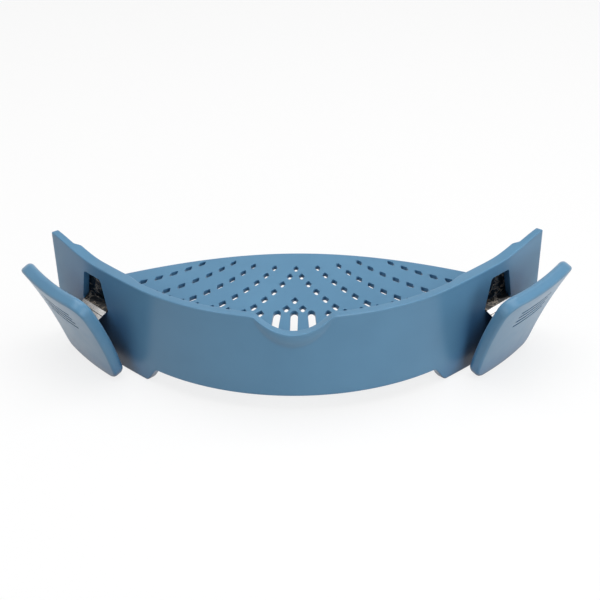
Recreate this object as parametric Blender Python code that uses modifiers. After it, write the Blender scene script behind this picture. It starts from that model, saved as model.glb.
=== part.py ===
"""Clip-on pot strainer: a moulded silicone strainer with a spring clip on each wing.

Metres, +Z up, the spout towards -Y. The origin is the middle of the overall box at the
height of the surface that the wings rest on.
"""

import bpy
import bmesh
from math import atan2, ceil, cos, hypot, pi, radians, sin, sqrt, tan
from mathutils import Matrix, Vector

# Wall: a round front that runs on into two nearly straight wings
WALL_RADIUS = 0.110
FRONT_HALF_ANGLE = radians(44)
WING_RADIUS = 0.620
WING_LENGTH = 0.0720
WALL_FLARE = radians(2.6)
WALL_THICKNESS = 0.0050
TIP_THICKNESS = 0.0042
EDGE_ROUND = 0.0010

# Rim and foot heights above the surface that the wings rest on
RIM_HEIGHT = 0.0532
TIP_RISE = 0.0054
TIP_RISE_START = 0.038
TIP_RISE_LENGTH = 0.042
FOOT_RISE = 0.0085
FOOT_STEP_START = 0.0745
FOOT_STEP_LENGTH = 0.0095
FOOT_TRIM = 0.0006

# Spout: the rim dips and bulges outward
SPOUT_HALF_WIDTH = 0.0188
SPOUT_SHOULDER = 0.0270
SPOUT_DROP = 0.0076
SPOUT_BULGE = 0.0036
SPOUT_BULGE_DEPTH = 0.0110
SPOUT_SOFT_SHARE = 0.12

# Perforated plate: a shallow cone that falls towards the spout
PLATE_THICKNESS = 0.0025
PLATE_LEVEL = 0.0433
PLATE_SLOPE = 0.0885
PLATE_REAR_RADIUS = 0.295
PLATE_REAR_SET_BACK = 0.0785

# Drain holes: rings of rhombi round a centre behind the strainer, each ring shifted by a quarter pitch
LATTICE_SET_BACK = 0.1438
RING_RADIUS = 0.1099
RING_PITCH = 0.0074
LAST_RING_PITCH = 0.0054
RING_COUNT = 7
LEVEL_RING = 4
HOLE_PITCH_ANGLE = radians(7.9)
RING_SHIFT_SHARE = 0.25
HOLE_SIZE_SHARE = 0.485
HOLE_CORNER_SHARE = 0.16
HOLE_REAR_MARGIN = 0.0028
HOLE_WALL_MARGIN = 0.0042
SLOT_WIDTH = 0.0036
SLOT_ARCH = 0.0034
SLOT_REAR_SET = 0.0037
SLOT_WALL_MARGIN = 0.0012

# Thick section of each wing, which holds the insert and the spring's inner leg
BOSS_THICKNESS = 0.0082
BOSS_FROM_TIP = 0.0145
BOSS_RAMP = 0.0045
BOSS_LENGTH = 0.0445
BOSS_FADE = 0.0120
BOSS_TOP_SHARE = 0.45
BOSS_TOP_START_SHARE = 0.80

# Clip position and the pocket in the wing
CLIP_FROM_TIP = 0.0355
FACE_SKIN = 0.0036
FIT_GAP = 0.0003
INSERT_WIDTH = 0.0360
INSERT_FOOT = 0.0140
INSERT_HEIGHT = 0.0340
INSERT_THICKNESS = 0.0024
INSERT_CORNER = 0.0030
WINDOW_FOOT = 0.0283
WINDOW_HEIGHT = 0.0183
WINDOW_TOP_SHARE = 0.62
WINDOW_MARGIN = 0.0013
WINDOW_CORNER = 0.0018

# Leaf spring: one steel strip folded into a wide U that opens upward
SPRING_WIDTH = 0.0200
SPRING_THICKNESS = 0.0006
SPRING_BEND = 0.0014
SPRING_INNER_LEG_TOP = 0.0472
SPRING_SILL = 0.0009
SPRING_FLOOR_FALL = radians(28)
SPRING_LEG_MARGIN = 0.0072

# Pad: a paddle outside the wing, curved across and flared outward towards its top
PAD_HALF_TOP = 0.0307
PAD_HALF_FOOT = 0.0239
PAD_LENGTH = 0.0569
PAD_THICKNESS = 0.0070
PAD_EDGE_ROUND = 0.0022
PAD_TOP_CORNER = 0.0080
PAD_FOOT_CORNER = 0.0064
PAD_CURVE_RADIUS = 0.200
PAD_TILT = radians(15.4)
PAD_FLARE = radians(14.5)
PAD_TURN = radians(5.2)
PAD_FOOT_OUT = 0.0026
PAD_FOOT_HEIGHT = 0.0020
PAD_FORWARD = 0.0045
PAD_SKIN = 0.0014
PAD_CORE_THICKNESS = 0.0026
PAD_CORE_MARGIN = 0.0065
PAD_CORE_CORNER = 0.0040
PAD_WINDOW_HEIGHT = 0.0120
PAD_WINDOW_SILL = 0.0030
PAD_CUT_PITCH = 0.0082

# Grip grooves near the top of the pad's outer face
GROOVE_COUNT = 4
GROOVE_FROM_TOP = 0.0122
GROOVE_PITCH = 0.0035
GROOVE_LENGTH = 0.0270
GROOVE_WIDTH = 0.0010
GROOVE_DEPTH = 0.0011

# Hinge of each clip: the middle of the spring's floor
HINGE_OUT = 0.0045

# Fineness of the curves, and how far cutters pass the surfaces that they cut
SPOUT_COLUMNS = 14
FRONT_COLUMNS = 9
STEP_COLUMNS = 5
WING_COLUMNS = 6
BOSS_COLUMNS = 2
TIP_COLUMNS = 4
ROW_SHARES = (0.0, 0.35, 0.60, 0.72, 0.78, 0.84, 0.90, 0.95, 1.0)
EDGE_SEGMENTS = 2
ARC_STEPS = 5
PLATE_SIDE_STEPS = 44
PLATE_REAR_STEPS = 16
BISECTION_STEPS = 40
OVERRUN = 0.0040
WELD_DISTANCE = 0.00001
SHARP_ANGLE = radians(35)

ROUND_LENGTH = WALL_RADIUS * FRONT_HALF_ANGLE
HALF_LENGTH = ROUND_LENGTH + WING_LENGTH
SPOUT_HEIGHT = RIM_HEIGHT - SPOUT_DROP


def ease(share):
    """Smooth step from 0 to 1 over the shares 0 to 1."""
    held = min(max(share, 0), 1)
    return held * held * (3 - 2 * held)


def heading(along):
    """Direction of the wall at a length along it from the spout, as an angle from +X."""
    if along <= ROUND_LENGTH:
        return along / WALL_RADIUS
    return FRONT_HALF_ANGLE + (along - ROUND_LENGTH) / WING_RADIUS


def plan_point(along, outward):
    """Plan position of the right half's outer face, moved outward, with the front's centre at zero."""
    turn = heading(along)
    if along <= ROUND_LENGTH:
        x, y = WALL_RADIUS * sin(turn), -WALL_RADIUS * cos(turn)
    else:
        x = (WALL_RADIUS - WING_RADIUS) * sin(FRONT_HALF_ANGLE) + WING_RADIUS * sin(turn)
        y = (WING_RADIUS - WALL_RADIUS) * cos(FRONT_HALF_ANGLE) - WING_RADIUS * cos(turn)
    return x + outward * sin(turn), y - outward * cos(turn)


def soft(value):
    """The value where it is above 0 and nearly nothing below, with a rounded change; 1 stays 1."""
    return (value + hypot(value, SPOUT_SOFT_SHARE)) / (1 + hypot(1, SPOUT_SOFT_SHARE))


def spout_share(along):
    """1 in the middle of the spout, falling to nearly 0 past its shoulders."""
    return soft(1 - (along / SPOUT_HALF_WIDTH) ** 2)


def rim_height(along):
    """Height of the rim: level, with a dip at the spout and a rise at the wing's tip."""
    rise = TIP_RISE * ease((along - HALF_LENGTH + TIP_RISE_START) / TIP_RISE_LENGTH)
    return RIM_HEIGHT + rise - SPOUT_DROP * spout_share(along)


def foot_height(along):
    """Height of the wall's lower edge: raised at the front, down at the wings, where it is trimmed flat."""
    return (FOOT_RISE + FOOT_TRIM) * (1 - ease((along - FOOT_STEP_START) / FOOT_STEP_LENGTH)) - FOOT_TRIM


def outward_at(along, height):
    """How far the outer face stands out from its plan curve at a height."""
    down = (rim_height(along) - height) / SPOUT_BULGE_DEPTH
    bulge = soft(1 - down ** 2 - (along / SPOUT_HALF_WIDTH) ** 2)
    return height * tan(WALL_FLARE) + SPOUT_BULGE * bulge


def thickness_at(along, share=0):
    """Wall thickness: plain front, thin tip, and a boss in the wing that thins towards the rim."""
    boss_end = HALF_LENGTH - BOSS_FROM_TIP
    boss_start = boss_end - BOSS_LENGTH
    front = ease((along - boss_start + BOSS_FADE) / BOSS_FADE)
    tip = ease((along - boss_end + BOSS_RAMP) / BOSS_RAMP)
    top = 1 - (1 - BOSS_TOP_SHARE) * ease((share - BOSS_TOP_START_SHARE) / (1 - BOSS_TOP_START_SHARE))
    whole = WALL_THICKNESS + (BOSS_THICKNESS - WALL_THICKNESS) * front * top
    return whole + (TIP_THICKNESS - whole) * tip


def box_middle():
    """Plan position, from the front's centre, of the middle of the overall box."""
    front = -WALL_RADIUS - outward_at(0, SPOUT_HEIGHT)
    rear = plan_point(HALF_LENGTH, -TIP_THICKNESS)[1]
    return (front + rear) / 2


CENTRE_Y = -box_middle()


def wall_point(along, height, inward, side=1):
    """Point of the wall in the part's frame, on the right or, with side -1, the left."""
    x, y = plan_point(along, outward_at(along, height) - inward)
    return Vector((side * x, y + CENTRE_Y, height))


LATTICE_Y = CENTRE_Y - WALL_RADIUS + LATTICE_SET_BACK
PLATE_REAR_Y = CENTRE_Y - WALL_RADIUS + PLATE_REAR_SET_BACK


def plate_height(x, y):
    """Height of the plate's upper face."""
    return PLATE_LEVEL + PLATE_SLOPE * (RING_RADIUS - hypot(x, y - LATTICE_Y))


def plate_rear(x):
    """The plate's rear edge, an arc."""
    return PLATE_REAR_Y - PLATE_REAR_RADIUS + sqrt(PLATE_REAR_RADIUS ** 2 - x * x)


def plate_wall_point(along, inward):
    """Where the plate meets the wall, a distance in from the wall's outer face."""
    start = wall_point(along, PLATE_LEVEL, inward)
    return wall_point(along, plate_height(start.x, start.y), inward)


def fresh_scene():
    for item in list(bpy.data.objects):
        bpy.data.objects.remove(item, do_unlink=True)


def collection(name):
    made = bpy.data.collections.new(name)
    bpy.context.scene.collection.children.link(made)
    return made


def material(name, colour, roughness, metallic):
    made = bpy.data.materials.new(name)
    made.use_nodes = True
    shader = made.node_tree.nodes["Principled BSDF"]
    shader.inputs["Base Color"].default_value = (*colour, 1)
    shader.inputs["Roughness"].default_value = roughness
    shader.inputs["Metallic"].default_value = metallic
    return made


def add_object(name, mesh, home, finish=None):
    made = bpy.data.objects.new(name, mesh)
    home.objects.link(made)
    if finish:
        mesh.materials.clear()
        mesh.materials.append(finish)
        mesh.shade_smooth()
        mesh.set_sharp_from_angle(angle=SHARP_ANGLE)
    return made


def as_cutter(thing):
    thing.hide_render = True
    thing.display_type = "WIRE"
    return thing


def round_corners(corners, radii, closed=True):
    """Points of a path through the corners, each rounded with an arc of its radius."""
    points = []
    count = len(corners)
    for index, (corner, radius) in enumerate(zip(corners, radii)):
        here = Vector(corner)
        if radius == 0 or (not closed and index in (0, count - 1)):
            points.append(tuple(here))
            continue
        back = (Vector(corners[index - 1]) - here).normalized()
        ahead = (Vector(corners[(index + 1) % count]) - here).normalized()
        half = back.angle(ahead) / 2
        middle = here + (back + ahead).normalized() * (radius / sin(half))
        start = here + back * (radius / tan(half)) - middle
        end = here + ahead * (radius / tan(half)) - middle
        turn = atan2(start.x * end.y - start.y * end.x, start.dot(end))
        for step in range(ARC_STEPS + 1):
            spin = Matrix.Rotation(turn * step / ARC_STEPS, 2)
            points.append(tuple(middle + spin @ start))
    return points


def outline_mesh(name, outlines, thickness, edge_round=0.0):
    """Closed plate in the XY plane, centred on Z = 0, from an outline and its holes."""
    curve = bpy.data.curves.new(name + "_outline", "CURVE")
    curve.dimensions = "2D"
    curve.fill_mode = "BOTH"
    curve.extrude = thickness / 2 - edge_round
    curve.bevel_depth = edge_round
    curve.bevel_resolution = EDGE_SEGMENTS
    curve.offset = -edge_round
    for points in outlines:
        spline = curve.splines.new("POLY")
        spline.points.add(len(points) - 1)
        for point, (x, y) in zip(spline.points, points):
            point.co = (x, y, 0, 1)
        spline.use_cyclic_u = True
    holder = bpy.data.objects.new(name + "_outline", curve)
    bpy.context.scene.collection.objects.link(holder)
    shown = holder.evaluated_get(bpy.context.evaluated_depsgraph_get())
    mesh = bpy.data.meshes.new_from_object(shown)
    bpy.data.objects.remove(holder)
    work = bmesh.new()
    work.from_mesh(mesh)
    bmesh.ops.remove_doubles(work, verts=work.verts, dist=WELD_DISTANCE)
    bmesh.ops.recalc_face_normals(work, faces=work.faces)
    work.to_mesh(mesh)
    work.free()
    return mesh


def stand_up(mesh, outward):
    """Turns a flat plate upright: its Y becomes Z, and its middle stands a distance outward along -Y."""
    mesh.transform(Matrix.Translation((0, -outward, 0)) @ Matrix.Rotation(pi / 2, 4, "X"))
    return mesh


def box_mesh(name, low, high):
    work = bmesh.new()
    size = Vector(high) - Vector(low)
    middle = (Vector(high) + Vector(low)) / 2
    bmesh.ops.create_cube(work, size=1, matrix=Matrix.Translation(middle) @ Matrix.Diagonal((*size, 1)))
    mesh = bpy.data.meshes.new(name)
    work.to_mesh(mesh)
    work.free()
    return mesh


def boolean(thing, other, operation):
    step = thing.modifiers.new(operation.lower() + "_" + other.name, "BOOLEAN")
    step.operation = operation
    step.solver = "EXACT"
    step.object = other


def wall_stations():
    """Lengths along the right half of the wall at which the wall has a column of points."""
    boss_end = HALF_LENGTH - BOSS_FROM_TIP
    boss_start = boss_end - BOSS_LENGTH
    step_end = FOOT_STEP_START + FOOT_STEP_LENGTH
    spans = (
        (0, SPOUT_SHOULDER, SPOUT_COLUMNS),
        (SPOUT_SHOULDER, FOOT_STEP_START, FRONT_COLUMNS),
        (FOOT_STEP_START, step_end, STEP_COLUMNS),
        (step_end, boss_start, BOSS_COLUMNS),
        (boss_start, boss_end - BOSS_RAMP, WING_COLUMNS),
        (boss_end - BOSS_RAMP, boss_end, BOSS_COLUMNS),
        (boss_end, HALF_LENGTH, TIP_COLUMNS),
    )
    stations = [0]
    for start, end, count in spans:
        stations += [start + (end - start) * (index + 1) / count for index in range(count)]
    return stations


def wall_object(home, finish):
    """The wall's outer face as a half sheet, mirrored and thickened inward."""
    work = bmesh.new()
    weights = []
    columns = []
    for along in wall_stations():
        low, high = foot_height(along), rim_height(along)
        column = []
        for share in ROW_SHARES:
            column.append(work.verts.new(wall_point(along, low + (high - low) * share, 0)))
            weights.append(thickness_at(along, share) / BOSS_THICKNESS)
        columns.append(column)
    for left, right in zip(columns, columns[1:]):
        for row in range(len(ROW_SHARES) - 1):
            work.faces.new((left[row], right[row], right[row + 1], left[row + 1]))
    mesh = bpy.data.meshes.new("strainer_bowl")
    work.to_mesh(mesh)
    work.free()
    wall = add_object("strainer_bowl", mesh, home, finish)
    group = wall.vertex_groups.new(name="thickness")
    for index, weight in enumerate(weights):
        group.add([index], weight, "REPLACE")
    mirror = wall.modifiers.new("left_half", "MIRROR")
    mirror.use_clip = True
    mirror.merge_threshold = WELD_DISTANCE
    shell = wall.modifiers.new("wall_thickness", "SOLIDIFY")
    shell.thickness = BOSS_THICKNESS
    shell.offset = -1
    shell.vertex_group = group.name
    rounding = wall.modifiers.new("rounded_edges", "BEVEL")
    rounding.width = EDGE_ROUND
    rounding.segments = EDGE_SEGMENTS
    rounding.limit_method = "ANGLE"
    rounding.angle_limit = radians(60)
    return wall


def plate_outline():
    """Outline of the plate, buried to the middle of the wall, from its left junction round the front."""
    def overshoot(along):
        point = plate_wall_point(along, thickness_at(along) / 2)
        return point.y - plate_rear(point.x)

    low, high = 0, HALF_LENGTH
    for _ in range(BISECTION_STEPS):
        middle = (low + high) / 2
        if overshoot(middle) < 0:
            low = middle
        else:
            high = middle
    front = []
    for index in range(-PLATE_SIDE_STEPS, PLATE_SIDE_STEPS + 1):
        along = low * abs(index) / PLATE_SIDE_STEPS
        point = plate_wall_point(along, thickness_at(along) / 2)
        front.append((point.x if index >= 0 else -point.x, point.y))
    end = front[-1][0]
    rear = []
    for index in range(1, PLATE_REAR_STEPS):
        x = end * (1 - 2 * index / PLATE_REAR_STEPS)
        rear.append((x, plate_rear(x)))
    return front + rear


def polar(radius, angle):
    """Plan point round the lattice centre, at an angle from straight ahead."""
    return Vector((radius * sin(angle), LATTICE_Y - radius * cos(angle)))


def wall_clearance(point):
    """Distance in plan from a point to the wall's inner face, at the plate's height."""
    nearest = HALF_LENGTH
    steps = 2 * PLATE_SIDE_STEPS
    for index in range(steps + 1):
        along = HALF_LENGTH * index / steps
        face = plate_wall_point(along, thickness_at(along))
        nearest = min(nearest, hypot(face.x - abs(point.x), face.y - point.y))
    return nearest


def rhombus(radius, angle):
    """Drain hole: a rhombus along the lattice's own directions, its corners cut back."""
    centre = polar(radius, angle)
    out = Vector((sin(angle), -cos(angle))) * (RING_PITCH * HOLE_SIZE_SHARE)
    half = radius * HOLE_PITCH_ANGLE * RING_SHIFT_SHARE * HOLE_SIZE_SHARE
    across = Vector((cos(angle), sin(angle))) * half
    corners = [centre + out, centre + across, centre - out, centre - across]
    points = []
    for index, corner in enumerate(corners):
        for other in (corners[index - 1], corners[(index + 1) % len(corners)]):
            points.append(tuple(corner + (other - corner) * HOLE_CORNER_SHARE))
    return points


def slot(radius, angle):
    """Spout slot along the lattice's own radius: arched at its rear, open almost to the wall at its front."""
    out = Vector((sin(angle), -cos(angle)))
    across = Vector((cos(angle), sin(angle)))
    half = SLOT_WIDTH / 2
    points = []
    for side in (-1, 1):
        face = plate_wall_point(abs(polar(radius, angle).x + side * half), WALL_THICKNESS)
        reach = hypot(face.x, face.y - LATTICE_Y) - SLOT_WALL_MARGIN
        points.append(tuple(polar(0, 0) + out * reach + across * (side * half)))
    arch_foot = polar(0, 0) + out * (radius - SLOT_REAR_SET + SLOT_ARCH)
    for index in range(ARC_STEPS + 1):
        turn = pi * index / ARC_STEPS
        points.append(tuple(arch_foot + across * (half * cos(turn)) - out * (SLOT_ARCH * sin(turn))))
    return points


def drain_holes():
    """Outlines of all the drain holes and spout slots."""
    holes = []
    for ring in range(RING_COUNT):
        radius = RING_RADIUS + (ring - LEVEL_RING) * RING_PITCH
        last = ring == RING_COUNT - 1
        if last:
            radius += LAST_RING_PITCH - RING_PITCH
        step = HOLE_PITCH_ANGLE / 2 if last else HOLE_PITCH_ANGLE
        start = 0 if last else HOLE_PITCH_ANGLE * ((RING_SHIFT_SHARE * ring) % 1)
        for count in range(ceil(pi / 2 / step)):
            angle = start + count * step
            sides = (1, -1) if angle > 0 else (1,)
            for side in sides:
                centre = polar(radius, side * angle)
                if last and count < 2:
                    holes.append(slot(radius, side * angle))
                elif (plate_rear(centre.x) - centre.y > HOLE_REAR_MARGIN
                      and wall_clearance(centre) > HOLE_WALL_MARGIN):
                    holes.append(rhombus(radius, side * angle))
    return holes


def plate_object(home):
    """The perforated plate as a flat sheet that is then bent to its shallow cone."""
    mesh = outline_mesh("perforated_plate", [plate_outline(), *drain_holes()], PLATE_THICKNESS)
    for vertex in mesh.vertices:
        vertex.co.z += plate_height(vertex.co.x, vertex.co.y) - PLATE_THICKNESS / 2
    return as_cutter(add_object("perforated_plate", mesh, home))


def clip_frame(side_name, side, home):
    """Empty on the wing's outer face at the clip, with X along the wing, -Y outward and Z up the face."""
    along = HALF_LENGTH - CLIP_FROM_TIP
    frame = bpy.data.objects.new(side_name + "_clip_frame", None)
    home.objects.link(frame)
    frame.location = wall_point(along, 0, 0, side)
    frame.rotation_euler = (WALL_FLARE, 0, side * heading(along))
    return frame


def window_outline():
    """Trapezoid window that lets the spring through, a little wider than the spring at its foot."""
    half = SPRING_WIDTH / 2 + WINDOW_MARGIN
    top = half * WINDOW_TOP_SHARE
    head = WINDOW_FOOT + WINDOW_HEIGHT
    corners = [(-half, WINDOW_FOOT), (half, WINDOW_FOOT), (top, head), (-top, head)]
    return round_corners(corners, [WINDOW_CORNER] * len(corners))


def rectangle(half_width, low, high, corner):
    corners = [(-half_width, low), (half_width, low), (half_width, high), (-half_width, high)]
    return round_corners(corners, [corner] * len(corners))


def wing_pocket_mesh():
    half = INSERT_WIDTH / 2 + FIT_GAP
    outline = rectangle(half, INSERT_FOOT - FIT_GAP, INSERT_FOOT + INSERT_HEIGHT + FIT_GAP, INSERT_CORNER)
    depth = INSERT_THICKNESS + 2 * FIT_GAP
    return stand_up(outline_mesh("wing_pocket", [outline], depth), -FACE_SKIN - depth / 2)


def wing_window_mesh():
    depth = FACE_SKIN + 2 * OVERRUN
    reach = FACE_SKIN + INSERT_THICKNESS / 2
    return stand_up(outline_mesh("wing_window", [window_outline()], depth), depth / 2 - reach)


def insert_mesh():
    outline = rectangle(INSERT_WIDTH / 2, INSERT_FOOT, INSERT_FOOT + INSERT_HEIGHT, INSERT_CORNER)
    return stand_up(outline_mesh("wing_insert", [outline], INSERT_THICKNESS),
                    -FACE_SKIN - FIT_GAP - INSERT_THICKNESS / 2)


LEG_CHANNEL_DEPTH = SPRING_THICKNESS + FIT_GAP
INSERT_LEG_Y = FACE_SKIN + FIT_GAP + SPRING_THICKNESS / 2
SPRING_FLOOR_HEIGHT = WINDOW_FOOT + SPRING_SILL + INSERT_LEG_Y * tan(SPRING_FLOOR_FALL)
PAD_LEG_DEPTH = PAD_SKIN + FIT_GAP + SPRING_THICKNESS / 2


def insert_channel_mesh():
    """Channel in the insert's front face for the spring's inner leg."""
    half = SPRING_WIDTH / 2 + FIT_GAP
    front = FACE_SKIN + FIT_GAP
    foot = SPRING_FLOOR_HEIGHT - SPRING_BEND
    return box_mesh("insert_channel", (-half, front - OVERRUN, foot),
                    (half, front + LEG_CHANNEL_DEPTH, SPRING_INNER_LEG_TOP + FIT_GAP))


def pad_matrix(side):
    """Place of the pad's frame in the clip's: lower end of the inner face at the origin, Z up the pad."""
    turn = Matrix.Rotation(side * PAD_TURN, 4, "Z")
    foot = Matrix.Translation((-side * PAD_FORWARD, -PAD_FOOT_OUT, PAD_FOOT_HEIGHT))
    return turn @ foot @ Matrix.Rotation(PAD_TILT, 4, "X")


def pad_point(across, up, depth):
    """Point in the pad's frame: across and up its inner face, and a depth outward from it."""
    bend = PAD_FLARE / PAD_LENGTH
    lean = up * bend
    radius = PAD_CURVE_RADIUS + depth
    x = radius * sin(across / PAD_CURVE_RADIUS)
    out = radius * cos(across / PAD_CURVE_RADIUS) - PAD_CURVE_RADIUS
    return Vector((x, -(1 - cos(lean)) / bend - out * cos(lean), sin(lean) / bend - out * sin(lean)))


def bend_to_pad(mesh, depth):
    """Bends a flat plate, centred on a depth, to the pad's curves after cutting it into short facets."""
    work = bmesh.new()
    work.from_mesh(mesh)
    for axis in (0, 1):
        low = min(vertex.co[axis] for vertex in work.verts)
        high = max(vertex.co[axis] for vertex in work.verts)
        count = ceil((high - low) / PAD_CUT_PITCH)
        for index in range(1, count):
            at, way = Vector(), Vector()
            at[axis] = low + (high - low) * index / count
            way[axis] = 1
            everything = [*work.verts, *work.edges, *work.faces]
            bmesh.ops.bisect_plane(work, geom=everything, plane_co=at, plane_no=way)
    for vertex in work.verts:
        vertex.co = pad_point(vertex.co.x, vertex.co.y, depth + vertex.co.z)
    work.to_mesh(mesh)
    work.free()
    return mesh


def pad_leg_point(up):
    """Place of the spring's outer leg in the clip's YZ plane, at a length up the pad."""
    place = Matrix.Rotation(PAD_TILT, 2)
    point = pad_point(0, up, PAD_LEG_DEPTH)
    moved = place @ Vector((point.y, point.z))
    return Vector((moved.x - PAD_FOOT_OUT, moved.y + PAD_FOOT_HEIGHT))


def floor_height(y):
    """Height of the spring's sloping floor in the clip's frame."""
    return SPRING_FLOOR_HEIGHT + (y - INSERT_LEG_Y) * tan(SPRING_FLOOR_FALL)


def floor_climb():
    """Length up the pad at which the spring's floor reaches its outer leg."""
    low, high = 0, PAD_LENGTH
    for _ in range(BISECTION_STEPS):
        middle = (low + high) / 2
        point = pad_leg_point(middle)
        if point.y < floor_height(point.x):
            low = middle
        else:
            high = middle
    return low


def leg_end():
    """Length up the pad at which the spring's outer leg ends, short of the core's upper edge."""
    return PAD_LENGTH - PAD_CORE_MARGIN - SPRING_LEG_MARGIN


def spring_mesh(side, climb):
    """The strip's middle surface, swept along its fold line and turned with the pad at its outer end."""
    start = climb + 2 * SPRING_BEND
    leg = [pad_leg_point(start + (leg_end() - start) * index / ARC_STEPS) for index in range(ARC_STEPS + 1)]
    corners = [
        (INSERT_LEG_Y, SPRING_INNER_LEG_TOP),
        (INSERT_LEG_Y, SPRING_FLOOR_HEIGHT),
        tuple(pad_leg_point(climb)),
        tuple(leg[0]),
    ]
    path = round_corners(corners, [SPRING_BEND] * len(corners), closed=False)
    path += [tuple(point) for point in leg[1:]]
    reach = INSERT_LEG_Y - leg[0].x
    work = bmesh.new()
    half = SPRING_WIDTH / 2
    rows = []
    for y, z in path:
        turn = Matrix.Rotation(side * PAD_TURN * ease((INSERT_LEG_Y - y) / reach), 4, "Z")
        rows.append([work.verts.new(turn @ Vector((x, y, z))) for x in (-half, half)])
    for first, second in zip(rows, rows[1:]):
        work.faces.new((first[0], first[1], second[1], second[0]))
    mesh = bpy.data.meshes.new("clip_spring")
    work.to_mesh(mesh)
    work.free()
    return mesh


def pad_outline(margin, top_corner, foot_corner):
    """The pad's outline, drawn in by a margin."""
    low, high = margin, PAD_LENGTH - margin
    top, foot = PAD_HALF_TOP - margin, PAD_HALF_FOOT - margin
    corners = [(-foot, low), (foot, low), (top, high), (-top, high)]
    return round_corners(corners, [foot_corner, foot_corner, top_corner, top_corner])


def pad_cover_mesh():
    outline = pad_outline(0, PAD_TOP_CORNER, PAD_FOOT_CORNER)
    flat = outline_mesh("pad_cover", [outline], PAD_THICKNESS, PAD_EDGE_ROUND)
    return bend_to_pad(flat, PAD_THICKNESS / 2)


def pad_pocket_mesh():
    outline = pad_outline(PAD_CORE_MARGIN - FIT_GAP, PAD_CORE_CORNER, PAD_CORE_CORNER)
    depth = PAD_CORE_THICKNESS + 2 * FIT_GAP
    return bend_to_pad(outline_mesh("pad_pocket", [outline], depth), PAD_SKIN + depth / 2)


def pad_core_mesh():
    outline = pad_outline(PAD_CORE_MARGIN, PAD_CORE_CORNER, PAD_CORE_CORNER)
    flat = outline_mesh("pad_core", [outline], PAD_CORE_THICKNESS)
    return bend_to_pad(flat, PAD_SKIN + FIT_GAP + PAD_CORE_THICKNESS / 2)


def moved_outline(points, shift):
    return [(x + shift, y) for x, y in points]


def pad_window_mesh(side, climb):
    """Window in the pad's inner skin for the spring."""
    depth = PAD_SKIN + 2 * OVERRUN
    reach = PAD_SKIN + PAD_CORE_THICKNESS / 2
    low = climb - PAD_WINDOW_SILL
    outline = rectangle(SPRING_WIDTH / 2 + 2 * FIT_GAP, low, low + PAD_WINDOW_HEIGHT, WINDOW_CORNER)
    flat = outline_mesh("pad_window", [moved_outline(outline, side * PAD_FORWARD)], depth)
    return bend_to_pad(flat, reach - depth / 2)


def pad_channel_mesh(side, climb):
    """Channel in the core's inner face for the spring's outer leg."""
    half = SPRING_WIDTH / 2 + FIT_GAP
    low, high = climb - PAD_WINDOW_SILL, leg_end() + 2 * FIT_GAP
    outline = moved_outline([(-half, low), (half, low), (half, high), (-half, high)], side * PAD_FORWARD)
    depth = OVERRUN + LEG_CHANNEL_DEPTH + FIT_GAP
    flat = outline_mesh("pad_channel", [outline], depth)
    return bend_to_pad(flat, PAD_SKIN + FIT_GAP - OVERRUN + depth / 2)


def groove_mesh():
    """Grip grooves: parallel slits near the top of the outer face."""
    groups = []
    half = GROOVE_LENGTH / 2
    for index in range(GROOVE_COUNT):
        height = PAD_LENGTH - GROOVE_FROM_TOP - index * GROOVE_PITCH
        low, high = height - GROOVE_WIDTH / 2, height + GROOVE_WIDTH / 2
        groups.append([(-half, low), (half, low), (half, high), (-half, high)])
    return bend_to_pad(outline_mesh("grip_grooves", groups, 2 * GROOVE_DEPTH), PAD_THICKNESS)


def hinge_height():
    """Height, in the clip's frame, of the spring's floor at the hinge."""
    return floor_height(-HINGE_OUT)


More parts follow.
